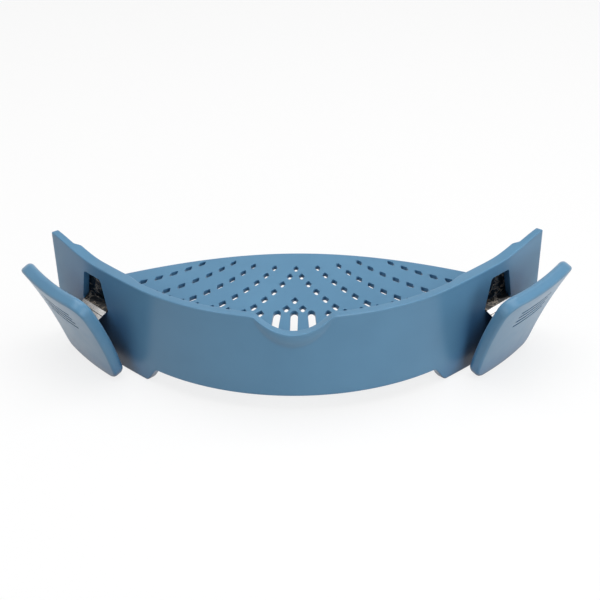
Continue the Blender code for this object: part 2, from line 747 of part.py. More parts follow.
def main():
    fresh_scene()
    home = collection("clip_on_pot_strainer")
    cutters = collection("cutters")
    silicone = material("blue_silicone", (0.105, 0.245, 0.385), 0.55, 0)
    nylon = material("dark_nylon", (0.055, 0.060, 0.070), 0.50, 0)
    steel = material("polished_steel", (0.62, 0.61, 0.59), 0.18, 1)

    bowl = wall_object(home, silicone)
    boolean(bowl, plate_object(cutters), "UNION")
    reach = WALL_RADIUS + WING_LENGTH
    trim = box_mesh("foot_trim", (-reach, -reach, -OVERRUN), (reach, reach, 0))
    boolean(bowl, as_cutter(add_object("foot_trim", trim, cutters)), "DIFFERENCE")

    climb = floor_climb()
    wing_pocket, wing_window = wing_pocket_mesh(), wing_window_mesh()
    insert, insert_channel = insert_mesh(), insert_channel_mesh()
    cover, core = pad_cover_mesh(), pad_core_mesh()
    pad_pocket, grooves = pad_pocket_mesh(), groove_mesh()

    for side_name, side in (("left", -1), ("right", 1)):
        frame = clip_frame(side_name, side, home)
        hinge = bpy.data.objects.new(side_name + "_clip_hinge", None)
        home.objects.link(hinge)
        hinge.parent = frame
        hinge.location = (0, -HINGE_OUT, hinge_height())
        pad_frame = bpy.data.objects.new(side_name + "_pad_frame", None)
        home.objects.link(pad_frame)
        pad_frame.parent = hinge
        pad_frame.matrix_local = Matrix.Translation(-hinge.location) @ pad_matrix(side)

        def place(name, mesh, parent, finish=None):
            kept = cutters if finish is None else home
            made = add_object(side_name + "_" + name, mesh, kept, finish)
            made.parent = parent
            return made if finish else as_cutter(made)

        boolean(bowl, place("wing_pocket", wing_pocket, frame), "DIFFERENCE")
        boolean(bowl, place("wing_window", wing_window, frame), "DIFFERENCE")
        wing_insert = place("wing_insert", insert, frame, nylon)
        boolean(wing_insert, place("insert_channel", insert_channel, frame), "DIFFERENCE")
        clip_spring = place("clip_spring", spring_mesh(side, climb), frame, steel)
        strip = clip_spring.modifiers.new("strip_thickness", "SOLIDIFY")
        strip.thickness = SPRING_THICKNESS
        strip.offset = 0
        pad_cover = place("pad_cover", cover, pad_frame, silicone)
        boolean(pad_cover, place("pad_pocket", pad_pocket, pad_frame), "DIFFERENCE")
        boolean(pad_cover, place("pad_window", pad_window_mesh(side, climb), pad_frame), "DIFFERENCE")
        boolean(pad_cover, place("grip_grooves", grooves, pad_frame), "DIFFERENCE")
        pad_core = place("pad_core", core, pad_frame, nylon)
        boolean(pad_core, place("pad_channel", pad_channel_mesh(side, climb), pad_frame), "DIFFERENCE")


main()
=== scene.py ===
"""Looks of the clip-on pot strainer: moulded silicone and sprung steel in a plain, softly lit studio."""

import bmesh
import bpy
from math import atan2, ceil, cos, hypot, pi, radians, sin, sqrt, tan
from mathutils import Matrix, Vector


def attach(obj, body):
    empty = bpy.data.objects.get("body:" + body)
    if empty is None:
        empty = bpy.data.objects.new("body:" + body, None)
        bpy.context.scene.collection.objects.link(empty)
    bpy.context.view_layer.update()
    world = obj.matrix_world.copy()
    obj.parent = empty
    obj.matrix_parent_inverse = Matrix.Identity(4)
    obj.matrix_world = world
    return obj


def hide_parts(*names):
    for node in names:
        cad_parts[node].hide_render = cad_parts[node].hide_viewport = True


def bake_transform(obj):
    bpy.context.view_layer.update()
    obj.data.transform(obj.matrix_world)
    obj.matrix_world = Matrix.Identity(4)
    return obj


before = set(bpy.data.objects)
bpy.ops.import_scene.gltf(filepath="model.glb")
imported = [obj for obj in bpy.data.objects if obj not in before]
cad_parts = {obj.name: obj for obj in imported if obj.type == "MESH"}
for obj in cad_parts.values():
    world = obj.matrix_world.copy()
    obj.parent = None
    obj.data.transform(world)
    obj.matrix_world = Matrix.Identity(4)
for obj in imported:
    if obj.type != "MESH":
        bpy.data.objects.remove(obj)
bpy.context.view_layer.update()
SIDES = (("left", -1), ("right", 1))

# Lengths in millimetres become metres
MM = 0.001

# Wall: a round front that runs on into two nearly straight wings
WALL_RADIUS = 110 * MM
FRONT_HALF_ANGLE = radians(44)
WING_RADIUS = 620 * MM
WING_LENGTH = 72 * MM
WALL_FLARE = radians(2.6)
WALL_THICKNESS = 5 * MM
TIP_THICKNESS = 4.2 * MM
RIM_OUTER_ROUND = 0.7 * MM
RIM_INNER_ROUND = 0.7 * MM
FOOT_ROUND = 0.9 * MM
TIP_ROUND = 0.6 * MM

# Rim and foot heights above the floor
RIM_HEIGHT = 53.2 * MM
TIP_RISE = 5.4 * MM
TIP_RISE_START = 38 * MM
TIP_RISE_LENGTH = 42 * MM
FOOT_RISE = 8.5 * MM
FOOT_STEP_START = 74.5 * MM
FOOT_STEP_LENGTH = 9.5 * MM

# Spout
SPOUT_HALF_WIDTH = 18.8 * MM
SPOUT_SHOULDER = 30 * MM
SPOUT_DROP = 7.6 * MM
SPOUT_BULGE = 3.6 * MM
SPOUT_BULGE_DEPTH = 9 * MM
SPOUT_SOFT_SHARE = 0.12
BULGE_SOFT_SHARE = 0.05

# Perforated plate and its holes
PLATE_THICKNESS = 2.5 * MM
PLATE_LEVEL = 43.3 * MM
PLATE_SLOPE = 0.0885
PLATE_REAR_RADIUS = 295 * MM
PLATE_REAR_SET_BACK = 78.5 * MM
PLATE_EDGE_ROUND = 0.35 * MM
PLATE_CUT_PITCH = 9 * MM
LATTICE_SET_BACK = 143.8 * MM
RING_RADIUS = 109.9 * MM
RING_PITCH = 7.4 * MM
LAST_RING_PITCH = 5.4 * MM
RING_COUNT = 7
LEVEL_RING = 4
HOLE_PITCH_ANGLE = radians(7.9)
RING_SHIFT_SHARE = 0.25
HOLE_SIZE_SHARE = 0.485
HOLE_CORNER_ROUND = 0.55 * MM
HOLE_REAR_MARGIN = 2.8 * MM
HOLE_WALL_MARGIN = 4.2 * MM
SLOT_WIDTH = 3.6 * MM
SLOT_ARCH = 3.4 * MM
SLOT_REAR_SET = 3.7 * MM
SLOT_WALL_MARGIN = 1.2 * MM
SLOTS_EACH_SIDE = 2

# Thick section of each wing, and the pocket and window in it
BOSS_THICKNESS = 8.2 * MM
BOSS_FROM_TIP = 14.5 * MM
BOSS_RAMP = 4.5 * MM
BOSS_LENGTH = 44.5 * MM
BOSS_FADE = 12 * MM
BOSS_TOP_SHARE = 0.45
BOSS_TOP_START_SHARE = 0.80
CLIP_FROM_TIP = 35.5 * MM
FACE_SKIN = 3.6 * MM
FIT_GAP = 0.3 * MM
INSERT_WIDTH = 36 * MM
INSERT_FOOT = 14 * MM
INSERT_HEIGHT = 34 * MM
INSERT_THICKNESS = 2.4 * MM
INSERT_CORNER = 3 * MM
WINDOW_FOOT = 28.3 * MM
WINDOW_HEIGHT = 18.3 * MM
WINDOW_TOP_SHARE = 0.62
WINDOW_MARGIN = 1.3 * MM
WINDOW_CORNER = 1.8 * MM

# Leaf spring
SPRING_WIDTH = 20 * MM
SPRING_THICKNESS = 0.6 * MM
SPRING_BEND = 1.4 * MM
SPRING_INNER_LEG_TOP = 47.2 * MM
SPRING_SILL = 0.9 * MM
SPRING_FLOOR_FALL = radians(28)
SPRING_LEG_MARGIN = 7.2 * MM
SPRING_EDGE_ROUND = SPRING_THICKNESS / 4
SPRING_EDGE_SEGMENTS = 2
SPRING_EDGE_ANGLE = radians(60)

# Pads
PAD_HALF_TOP = 30.7 * MM
PAD_HALF_FOOT = 23.9 * MM
PAD_LENGTH = 56.9 * MM
PAD_THICKNESS = 7 * MM
PAD_INNER_ROUND = 2.8 * MM
PAD_OUTER_ROUND = 1.5 * MM
PAD_TOP_CORNER = 8 * MM
PAD_FOOT_CORNER = 6.4 * MM
PAD_CURVE_RADIUS = 200 * MM
PAD_TILT = radians(15.4)
PAD_FLARE = radians(14.5)
PAD_TURN = radians(5.2)
PAD_FOOT_OUT = 2.6 * MM
PAD_FOOT_HEIGHT = 2 * MM
PAD_FORWARD = 4.5 * MM
PAD_SKIN = 1.4 * MM
PAD_CORE_THICKNESS = 2.6 * MM
PAD_CORE_MARGIN = 6.5 * MM
PAD_CORE_CORNER = 4 * MM
PAD_WINDOW_HEIGHT = 12 * MM
PAD_WINDOW_SILL = 3 * MM
GROOVE_COUNT = 4
GROOVE_FROM_TOP = 12.2 * MM
GROOVE_PITCH = 3.5 * MM
GROOVE_LENGTH = 27 * MM
GROOVE_WIDTH = 1.2 * MM
GROOVE_DEPTH = 2 * MM
GROOVE_CORNER = GROOVE_WIDTH / 3

# Steps along each part of the wall, from the spout to the tip
SPOUT_STEPS = 48
FRONT_STEPS = 16
FOOT_RISE_STEPS = 12
WING_STEPS = 6
BOSS_STEPS = 14
RAMP_STEPS = 8
TIP_STEPS = 8

# Fineness of the other curves
ARC_STEPS = 6
FACE_ROWS = 36
ROUND_STEPS = 3
PLATE_SIDE_STEPS = 120
PLATE_REAR_STEPS = 60
BISECTION_STEPS = 40
CUT_PITCH = 6 * MM
SPRING_PITCH = 1 * MM
PAD_EDGE_STEPS = 10
PAD_FACE_RINGS = 6
OVERRUN = 4 * MM
WELD_DISTANCE = 0.01 * MM
SHARP_ANGLE = radians(40)

# The photograph's camera: angles, distance, target from the front wall's centre, and scale at the target
CAMERA_ELEVATION = radians(28.0)
CAMERA_AZIMUTH = radians(1.5)
CAMERA_ROLL = radians(-0.9)
CAMERA_DISTANCE = 825 * MM
CAMERA_TARGET = (1.75 * MM, -44.2 * MM, 26.5 * MM)
PIXELS_PER_MM = 1.9327
PHOTO_WIDTH = 600
SENSOR_WIDTH = 36

ROUND_LENGTH = WALL_RADIUS * FRONT_HALF_ANGLE
HALF_LENGTH = ROUND_LENGTH + WING_LENGTH


def ease(share):
    """Smooth step from 0 to 1 over the shares 0 to 1."""
    held = min(max(share, 0), 1)
    return held * held * (3 - 2 * held)


def heading(along):
    """Direction of the wall at a length along it from the spout, as an angle from +X."""
    if along <= ROUND_LENGTH:
        return along / WALL_RADIUS
    return FRONT_HALF_ANGLE + (along - ROUND_LENGTH) / WING_RADIUS


def plan_point(along, outward):
    """Plan position of the right half's outer face, moved outward, with the front's centre at zero."""
    turn = heading(along)
    if along <= ROUND_LENGTH:
        x, y = WALL_RADIUS * sin(turn), -WALL_RADIUS * cos(turn)
    else:
        x = (WALL_RADIUS - WING_RADIUS) * sin(FRONT_HALF_ANGLE) + WING_RADIUS * sin(turn)
        y = (WING_RADIUS - WALL_RADIUS) * cos(FRONT_HALF_ANGLE) - WING_RADIUS * cos(turn)
    return x + outward * sin(turn), y - outward * cos(turn)


def soft(value, share):
    """The value where it is above 0 and nearly nothing below, with a rounded change; 1 stays 1."""
    return (value + hypot(value, share)) / (1 + hypot(1, share))


def spout_share(along):
    """1 in the middle of the spout, falling to nearly 0 past its shoulders."""
    return soft(1 - (along / SPOUT_HALF_WIDTH) ** 2, SPOUT_SOFT_SHARE)


def rim_height(along):
    """Height of the rim: level, with a dip at the spout and a rise at the wing's tip."""
    rise = TIP_RISE * ease((along - HALF_LENGTH + TIP_RISE_START) / TIP_RISE_LENGTH)
    return RIM_HEIGHT + rise - SPOUT_DROP * spout_share(along)


def foot_height(along):
    """Height of the wall's lower edge: raised at the front, down at the wings."""
    return FOOT_RISE * (1 - ease((along - FOOT_STEP_START) / FOOT_STEP_LENGTH))


def outward_at(along, height):
    """How far the outer face stands out from its plan curve at a height."""
    down = (rim_height(along) - height) / SPOUT_BULGE_DEPTH
    bulge = soft(1 - down ** 2 - (along / SPOUT_HALF_WIDTH) ** 2, BULGE_SOFT_SHARE)
    return height * tan(WALL_FLARE) + SPOUT_BULGE * bulge


def thickness_at(along, share=0):
    """Wall thickness: plain front, thin tip, and a boss in the wing that thins towards the rim."""
    boss_end = HALF_LENGTH - BOSS_FROM_TIP
    boss_start = boss_end - BOSS_LENGTH
    front = ease((along - boss_start + BOSS_FADE) / BOSS_FADE)
    tip = ease((along - boss_end + BOSS_RAMP) / BOSS_RAMP)
    top = 1 - (1 - BOSS_TOP_SHARE) * ease((share - BOSS_TOP_START_SHARE) / (1 - BOSS_TOP_START_SHARE))
    whole = WALL_THICKNESS + (BOSS_THICKNESS - WALL_THICKNESS) * front * top
    return whole + (TIP_THICKNESS - whole) * tip


def box_middle():
    """Plan position, from the front's centre, of the middle of the overall box."""
    front = -WALL_RADIUS - outward_at(0, RIM_HEIGHT - SPOUT_DROP)
    rear = plan_point(HALF_LENGTH, -TIP_THICKNESS)[1]
    return (front + rear) / 2


CENTRE_Y = -box_middle()
LATTICE_Y = CENTRE_Y - WALL_RADIUS + LATTICE_SET_BACK
PLATE_REAR_Y = CENTRE_Y - WALL_RADIUS + PLATE_REAR_SET_BACK


def wall_point(along, height, inward, side=1):
    """Point of the wall on the right or, with side -1, the left."""
    x, y = plan_point(along, outward_at(along, height) - inward)
    return Vector((side * x, y + CENTRE_Y, height))


def plate_height(x, y):
    """Height of the plate's upper face."""
    return PLATE_LEVEL + PLATE_SLOPE * (RING_RADIUS - hypot(x, y - LATTICE_Y))


def plate_rear(x):
    """The plate's rear edge, an arc."""
    return PLATE_REAR_Y - PLATE_REAR_RADIUS + sqrt(PLATE_REAR_RADIUS ** 2 - x * x)


def plate_wall_point(along, inward):
    """Where the plate meets the wall, a distance in from the wall's outer face."""
    start = wall_point(along, PLATE_LEVEL, inward)
    return wall_point(along, plate_height(start.x, start.y), inward)


def new_object(name, mesh, matrix=None):
    made = bpy.data.objects.new(name, mesh)
    bpy.context.scene.collection.objects.link(made)
    if matrix:
        made.matrix_world = matrix
    return made


def mesh_from(name, work):
    """Turns the bmesh's faces outward and hands it over as a mesh."""
    bmesh.ops.recalc_face_normals(work, faces=work.faces)
    mesh = bpy.data.meshes.new(name)
    work.to_mesh(mesh)
    work.free()
    return mesh


def apply_modifiers(thing):
    """Makes the modifiers' result the object's own mesh."""
    graph = bpy.context.evaluated_depsgraph_get()
    mesh = bpy.data.meshes.new_from_object(thing.evaluated_get(graph))
    thing.modifiers.clear()
    thing.data = mesh


def settle(thing):
    """Moves a placed object's position into its mesh, so that its box lies along the frame's axes."""
    thing.data.transform(thing.matrix_world)
    thing.matrix_world = Matrix()


def cut(thing, *cutters, operation="DIFFERENCE"):
    """Applies a Boolean with each cutter, which is then deleted."""
    for cutter in cutters:
        step = thing.modifiers.new(cutter.name, "BOOLEAN")
        step.operation = operation
        step.solver = "EXACT"
        step.object = cutter
    bpy.context.view_layer.update()
    apply_modifiers(thing)
    for cutter in cutters:
        bpy.data.objects.remove(cutter)


def smooth(thing, angle=SHARP_ANGLE):
    thing.data.shade_smooth()
    thing.data.set_sharp_from_angle(angle=angle)
    step = thing.modifiers.new("weighted_normals", "WEIGHTED_NORMAL")
    step.keep_sharp = True
    apply_modifiers(thing)


def round_corners(corners, radii, closed=True):
    """Points of a path through the corners, each rounded with an arc of its radius."""
    points = []
    count = len(corners)
    for index, (corner, radius) in enumerate(zip(corners, radii)):
        here = Vector(corner)
        if radius == 0 or (not closed and index in (0, count - 1)):
            points.append(tuple(here))
            continue
        back = (Vector(corners[index - 1]) - here).normalized()
        ahead = (Vector(corners[(index + 1) % count]) - here).normalized()
        half = back.angle(ahead) / 2
        middle = here + (back + ahead).normalized() * (radius / sin(half))
        start = here + back * (radius / tan(half)) - middle
        end = here + ahead * (radius / tan(half)) - middle
        turn = atan2(start.x * end.y - start.y * end.x, start.dot(end))
        for step in range(ARC_STEPS + 1):
            spin = Matrix.Rotation(turn * step / ARC_STEPS, 2)
            points.append(tuple(middle + spin @ start))
    return points


def outline_mesh(name, outlines, thickness, edge_round=0):
    """Closed plate in the XY plane, centred on Z = 0, from an outline and its holes."""
    curve = bpy.data.curves.new(name + "_outline", "CURVE")
    curve.dimensions = "2D"
    curve.fill_mode = "BOTH"
    curve.extrude = thickness / 2 - edge_round
    curve.bevel_depth = edge_round
    curve.bevel_resolution = 1
    curve.offset = -edge_round
    for points in outlines:
        spline = curve.splines.new("POLY")
        spline.points.add(len(points) - 1)
        for point, (x, y) in zip(spline.points, points):
            point.co = (x, y, 0, 1)
        spline.use_cyclic_u = True
    holder = new_object(name + "_outline", curve)
    graph = bpy.context.evaluated_depsgraph_get()
    mesh = bpy.data.meshes.new_from_object(holder.evaluated_get(graph))
    bpy.data.objects.remove(holder)
    work = bmesh.new()
    work.from_mesh(mesh)
    bmesh.ops.remove_doubles(work, verts=work.verts, dist=WELD_DISTANCE)
    return mesh_from(name, work)


def slice_mesh(mesh, pitch):
    """Cuts a flat plate into strips both ways, so that it can be bent smoothly."""
    work = bmesh.new()
    work.from_mesh(mesh)
    for axis in (0, 1):
        low = min(vertex.co[axis] for vertex in work.verts)
        high = max(vertex.co[axis] for vertex in work.verts)
        count = ceil((high - low) / pitch)
        for index in range(1, count):
            at, way = Vector(), Vector()
            at[axis] = low + (high - low) * index / count
            way[axis] = 1
            everything = [*work.verts, *work.edges, *work.faces]
            bmesh.ops.bisect_plane(work, geom=everything, plane_co=at, plane_no=way)
    work.to_mesh(mesh)
    work.free()
    return mesh


def stand_up(mesh, outward):
    """Turns a flat plate upright: its Y becomes Z, and its middle stands a distance outward along -Y."""
    mesh.transform(Matrix.Translation((0, -outward, 0)) @ Matrix.Rotation(pi / 2, 4, "X"))
    return mesh


def spread(start, end, count):
    """The values after start, up to end, in equal steps."""
    return [start + (end - start) * (index + 1) / count for index in range(count)]


def wall_stations():
    """Lengths along the right half of the wall, closer together where its section changes."""
    boss_end = HALF_LENGTH - BOSS_FROM_TIP
    boss_start = boss_end - BOSS_LENGTH
    step_end = FOOT_STEP_START + FOOT_STEP_LENGTH
    stations = [0]
    stations += spread(0, SPOUT_SHOULDER, SPOUT_STEPS)
    stations += spread(SPOUT_SHOULDER, FOOT_STEP_START, FRONT_STEPS)
    stations += spread(FOOT_STEP_START, step_end, FOOT_RISE_STEPS)
    stations += spread(step_end, boss_start, WING_STEPS)
    stations += spread(boss_start, boss_end - BOSS_RAMP, BOSS_STEPS)
    stations += spread(boss_end - BOSS_RAMP, boss_end, RAMP_STEPS)
    stations += spread(boss_end, HALF_LENGTH - TIP_ROUND, TIP_STEPS)
    return stations


def quarter(steps):
    """The angles from 0 to a right angle, in equal steps."""
    return [pi / 2 * index / steps for index in range(steps + 1)]


def wall_section(along, shrink):
    """One closed loop round the wall as (height, distance inward), shrunk all round by a length."""
    foot, rim = foot_height(along) + shrink, rim_height(along) - shrink

    def inner(height):
        share = (height - foot_height(along)) / (rim_height(along) - foot_height(along))
        return thickness_at(along, share) - shrink

    foot_round = max(FOOT_ROUND - shrink, 0)
    outer_round = max(RIM_OUTER_ROUND - shrink, 0)
    inner_round = max(RIM_INNER_ROUND - shrink, 0)
    loop = []
    for turn in quarter(ROUND_STEPS):
        loop.append((foot + foot_round * (1 - sin(turn)), shrink + foot_round * (1 - cos(turn))))
    loop.reverse()
    outer_span = rim - RIM_OUTER_ROUND - foot - FOOT_ROUND
    for index in range(1, FACE_ROWS):
        loop.append((foot + FOOT_ROUND + outer_span * index / FACE_ROWS, shrink))
    for turn in quarter(ROUND_STEPS):
        loop.append((rim - outer_round * (1 - sin(turn)), shrink + outer_round * (1 - cos(turn))))
    top_inner = inner(rim)
    for turn in reversed(quarter(ROUND_STEPS)):
        loop.append((rim - inner_round * (1 - sin(turn)), top_inner - inner_round * (1 - cos(turn))))
    inner_span = rim - RIM_INNER_ROUND - foot - FOOT_ROUND
    for index in range(1, FACE_ROWS):
        height = rim - RIM_INNER_ROUND - inner_span * index / FACE_ROWS
        loop.append((height, inner(height)))
    for turn in quarter(ROUND_STEPS):
        height = foot + foot_round * (1 - sin(turn))
        loop.append((height, inner(height) - foot_round * (1 - cos(turn))))
    return loop


def join_rings(work, rings):
    """Faces between each ring of vertices and the next."""
    for first, second in zip(rings, rings[1:]):
        for index in range(len(first)):
            last = index - 1
            work.faces.new((first[last], first[index], second[index], second[last]))


def wall_mesh():
    """The whole wall as one closed skin, swept from the left tip to the right."""
    half = [(along, 0) for along in wall_stations()]
    for turn in quarter(ROUND_STEPS)[1:]:
        half.append((HALF_LENGTH - TIP_ROUND * (1 - sin(turn)), TIP_ROUND * (1 - cos(turn))))
    whole = [(along, shrink, -1) for along, shrink in reversed(half[1:])]
    whole += [(along, shrink, 1) for along, shrink in half]
    work = bmesh.new()
    rings = []
    for along, shrink, side in whole:
        section = wall_section(along, shrink)
        rings.append([work.verts.new(wall_point(along, height, inward, side)) for height, inward in section])
    join_rings(work, rings)
    for ring in (rings[0], rings[-1]):
        work.faces.new(ring)
    bmesh.ops.remove_doubles(work, verts=work.verts, dist=WELD_DISTANCE)
    return mesh_from("wall", work)


def plate_outline():
    """Outline of the plate, buried to the middle of the wall, from its left junction round the front."""
    def overshoot(along):
        point = plate_wall_point(along, thickness_at(along) / 2)
        return point.y - plate_rear(point.x)

    low, high = 0, HALF_LENGTH
    for _ in range(BISECTION_STEPS):
        middle = (low + high) / 2
        if overshoot(middle) < 0:
            low = middle
        else:
            high = middle
    front = []
    for index in range(-PLATE_SIDE_STEPS, PLATE_SIDE_STEPS + 1):
        along = low * abs(index) / PLATE_SIDE_STEPS
        point = plate_wall_point(along, thickness_at(along) / 2)
        front.append((point.x if index >= 0 else -point.x, point.y))
    end = front[-1][0]
    rear = []
    for index in range(1, PLATE_REAR_STEPS):
        x = end * (1 - 2 * index / PLATE_REAR_STEPS)
        rear.append((x, plate_rear(x)))
    return front + rear


def polar(radius, angle):
    """Plan point round the lattice centre, at an angle from straight ahead."""
    return Vector((radius * sin(angle), LATTICE_Y - radius * cos(angle)))


def wall_clearance(point):
    """Distance in plan from a point to the wall's inner face, at the plate's height."""
    nearest = HALF_LENGTH
    for index in range(PLATE_SIDE_STEPS + 1):
        along = HALF_LENGTH * index / PLATE_SIDE_STEPS
        face = plate_wall_point(along, thickness_at(along))
        nearest = min(nearest, hypot(face.x - abs(point.x), face.y - point.y))
    return nearest


def rhombus(radius, angle):
    """Drain hole: a rhombus along the lattice's own directions, with rounded corners."""
    centre = polar(radius, angle)
    out = Vector((sin(angle), -cos(angle))) * (RING_PITCH * HOLE_SIZE_SHARE)
    half = radius * HOLE_PITCH_ANGLE * RING_SHIFT_SHARE * HOLE_SIZE_SHARE
    across = Vector((cos(angle), sin(angle))) * half
    corners = [centre + out, centre + across, centre - out, centre - across]
    return round_corners([tuple(corner) for corner in corners], [HOLE_CORNER_ROUND] * len(corners))


def slot(radius, angle):
    """Spout slot along the lattice's own radius: arched at its rear, open almost to the wall at its front."""
    out = Vector((sin(angle), -cos(angle)))
    across = Vector((cos(angle), sin(angle)))
    half = SLOT_WIDTH / 2
    points = []
    for side in (-1, 1):
        face = plate_wall_point(abs(polar(radius, angle).x + side * half), WALL_THICKNESS)
        reach = hypot(face.x, face.y - LATTICE_Y) - SLOT_WALL_MARGIN
        points.append(tuple(polar(0, 0) + out * reach + across * (side * half)))
    arch_foot = polar(0, 0) + out * (radius - SLOT_REAR_SET + SLOT_ARCH)
    steps = 2 * ARC_STEPS
    for index in range(steps + 1):
        turn = pi * index / steps
        points.append(tuple(arch_foot + across * (half * cos(turn)) - out * (SLOT_ARCH * sin(turn))))
    return points


def drain_holes():
    """Outlines of all the drain holes and spout slots."""
    holes = []
    for ring in range(RING_COUNT):
        radius = RING_RADIUS + (ring - LEVEL_RING) * RING_PITCH
        last = ring == RING_COUNT - 1
        if last:
            radius += LAST_RING_PITCH - RING_PITCH
        step = HOLE_PITCH_ANGLE / 2 if last else HOLE_PITCH_ANGLE
        start = 0 if last else HOLE_PITCH_ANGLE * ((RING_SHIFT_SHARE * ring) % 1)
        for count in range(ceil(pi / 2 / step)):
            angle = start + count * step
            sides = (1, -1) if angle > 0 else (1,)
            for side in sides:
                centre = polar(radius, side * angle)
                if last and count < SLOTS_EACH_SIDE:
                    holes.append(slot(radius, side * angle))
                elif (plate_rear(centre.x) - centre.y > HOLE_REAR_MARGIN
                      and wall_clearance(centre) > HOLE_WALL_MARGIN):
                    holes.append(rhombus(radius, side * angle))
    return holes


def plate_object():
    """The perforated plate, bent to its shallow cone."""
    outlines = [plate_outline(), *drain_holes()]
    mesh = slice_mesh(outline_mesh("plate", outlines, PLATE_THICKNESS, PLATE_EDGE_ROUND), PLATE_CUT_PITCH)
    for vertex in mesh.vertices:
        vertex.co.z += plate_height(vertex.co.x, vertex.co.y) - PLATE_THICKNESS / 2
    return new_object("plate", mesh)


def clip_matrix(side):
    """The clip's frame on the wing's outer face: X along the wing, -Y outward and Z up the face."""
    along = HALF_LENGTH - CLIP_FROM_TIP
    turn = Matrix.Rotation(side * heading(along), 4, "Z")
    return Matrix.Translation(wall_point(along, 0, 0, side)) @ turn @ Matrix.Rotation(WALL_FLARE, 4, "X")


def window_outline():
    """Trapezoid window that lets the spring through, a little wider than the spring at its foot."""
    half = SPRING_WIDTH / 2 + WINDOW_MARGIN
    top = half * WINDOW_TOP_SHARE
    head = WINDOW_FOOT + WINDOW_HEIGHT
    corners = [(-half, WINDOW_FOOT), (half, WINDOW_FOOT), (top, head), (-top, head)]
    return round_corners(corners, [WINDOW_CORNER] * len(corners))


def rectangle(half_width, low, high, corner):
    corners = [(-half_width, low), (half_width, low), (half_width, high), (-half_width, high)]
    return round_corners(corners, [corner] * len(corners))


def wing_cutters(side):
    """The pocket for the insert, and the window through the wing's skin."""
    half = INSERT_WIDTH / 2 + FIT_GAP
    outline = rectangle(half, INSERT_FOOT - FIT_GAP, INSERT_FOOT + INSERT_HEIGHT + FIT_GAP, INSERT_CORNER)
    pocket_depth = INSERT_THICKNESS + 2 * FIT_GAP
    pocket = stand_up(outline_mesh("wing_pocket", [outline], pocket_depth), -FACE_SKIN - pocket_depth / 2)
    depth = FACE_SKIN + 2 * OVERRUN
    window = outline_mesh("wing_window", [window_outline()], depth)
    stand_up(window, depth / 2 - FACE_SKIN - INSERT_THICKNESS / 2)
    place = clip_matrix(side)
    return [new_object("wing_pocket", pocket, place), new_object("wing_window", window, place)]


def make_bowl():
    bowl = new_object("strainer_body", wall_mesh())
    cut(bowl, plate_object(), operation="UNION")
    cut(bowl, *wing_cutters(-1), *wing_cutters(1))
    smooth(bowl)
    return bowl


INSERT_LEG_Y = FACE_SKIN + FIT_GAP + SPRING_THICKNESS / 2
PAD_LEG_DEPTH = PAD_SKIN + FIT_GAP + SPRING_THICKNESS / 2
SPRING_FLOOR_HEIGHT = WINDOW_FOOT + SPRING_SILL + INSERT_LEG_Y * tan(SPRING_FLOOR_FALL)
LEG_END = PAD_LENGTH - PAD_CORE_MARGIN - SPRING_LEG_MARGIN
INNER_LENGTH = SPRING_INNER_LEG_TOP - SPRING_FLOOR_HEIGHT + INSERT_LEG_Y / cos(SPRING_FLOOR_FALL)


def pad_matrix(side):
    """Place of the pad's frame in the clip's: lower end of the inner face at the origin, Z up the pad."""
    turn = Matrix.Rotation(side * PAD_TURN, 4, "Z")
    foot = Matrix.Translation((-side * PAD_FORWARD, -PAD_FOOT_OUT, PAD_FOOT_HEIGHT))
    return turn @ foot @ Matrix.Rotation(PAD_TILT, 4, "X")


def pad_point(across, up, depth):
    """Point in the pad's frame: across and up its inner face, and a depth outward from it."""
    bend = PAD_FLARE / PAD_LENGTH
    lean = up * bend
    radius = PAD_CURVE_RADIUS + depth
    x = radius * sin(across / PAD_CURVE_RADIUS)
    out = radius * cos(across / PAD_CURVE_RADIUS) - PAD_CURVE_RADIUS
    return Vector((x, -(1 - cos(lean)) / bend - out * cos(lean), sin(lean) / bend - out * sin(lean)))


def bend_to_pad(mesh, depth):
    """Bends a flat plate, centred on a depth, to the pad's curves."""
    slice_mesh(mesh, CUT_PITCH)
    for vertex in mesh.vertices:
        vertex.co = pad_point(vertex.co.x, vertex.co.y, depth + vertex.co.z)
    return mesh


def pad_leg_point(up):
    """Place of the spring's outer leg in the clip's YZ plane, at a length up the pad."""
    point = pad_point(0, up, PAD_LEG_DEPTH)
    moved = Matrix.Rotation(PAD_TILT, 2) @ Vector((point.y, point.z))
    return Vector((moved.x - PAD_FOOT_OUT, moved.y + PAD_FOOT_HEIGHT))


def floor_height(y):
    """Height of the spring's sloping floor in the clip's frame."""
    return SPRING_FLOOR_HEIGHT + (y - INSERT_LEG_Y) * tan(SPRING_FLOOR_FALL)


def floor_climb():
    """Length up the pad at which the spring's floor reaches its outer leg."""
    low, high = 0, PAD_LENGTH
    for _ in range(BISECTION_STEPS):
        middle = (low + high) / 2
        point = pad_leg_point(middle)
        if point.y < floor_height(point.x):
            low = middle
        else:
            high = middle
    return low


CLIMB = floor_climb()
LEG_START = CLIMB + 2 * SPRING_BEND


def pad_outline(margin, top_corner, foot_corner):
    """The pad's outline, drawn in by a margin."""
    low, high = margin, PAD_LENGTH - margin
    top, foot = PAD_HALF_TOP - margin, PAD_HALF_FOOT - margin
    corners = [(-foot, low), (foot, low), (top, high), (-top, high)]
    return round_corners(corners, [foot_corner, foot_corner, top_corner, top_corner])


def pad_ring(inset):
    """The pad's outline at an inset, with points along its straight sides too."""
    corners = pad_outline(inset, PAD_TOP_CORNER - inset, PAD_FOOT_CORNER - inset)
    ring = []
    group = ARC_STEPS + 1
    for index, point in enumerate(corners):
        ring.append(Vector(point))
        if index % group == ARC_STEPS:
            following = Vector(corners[(index + 1) % len(corners)])
            for step in range(1, PAD_EDGE_STEPS):
                ring.append(Vector(point).lerp(following, step / PAD_EDGE_STEPS))
    return ring


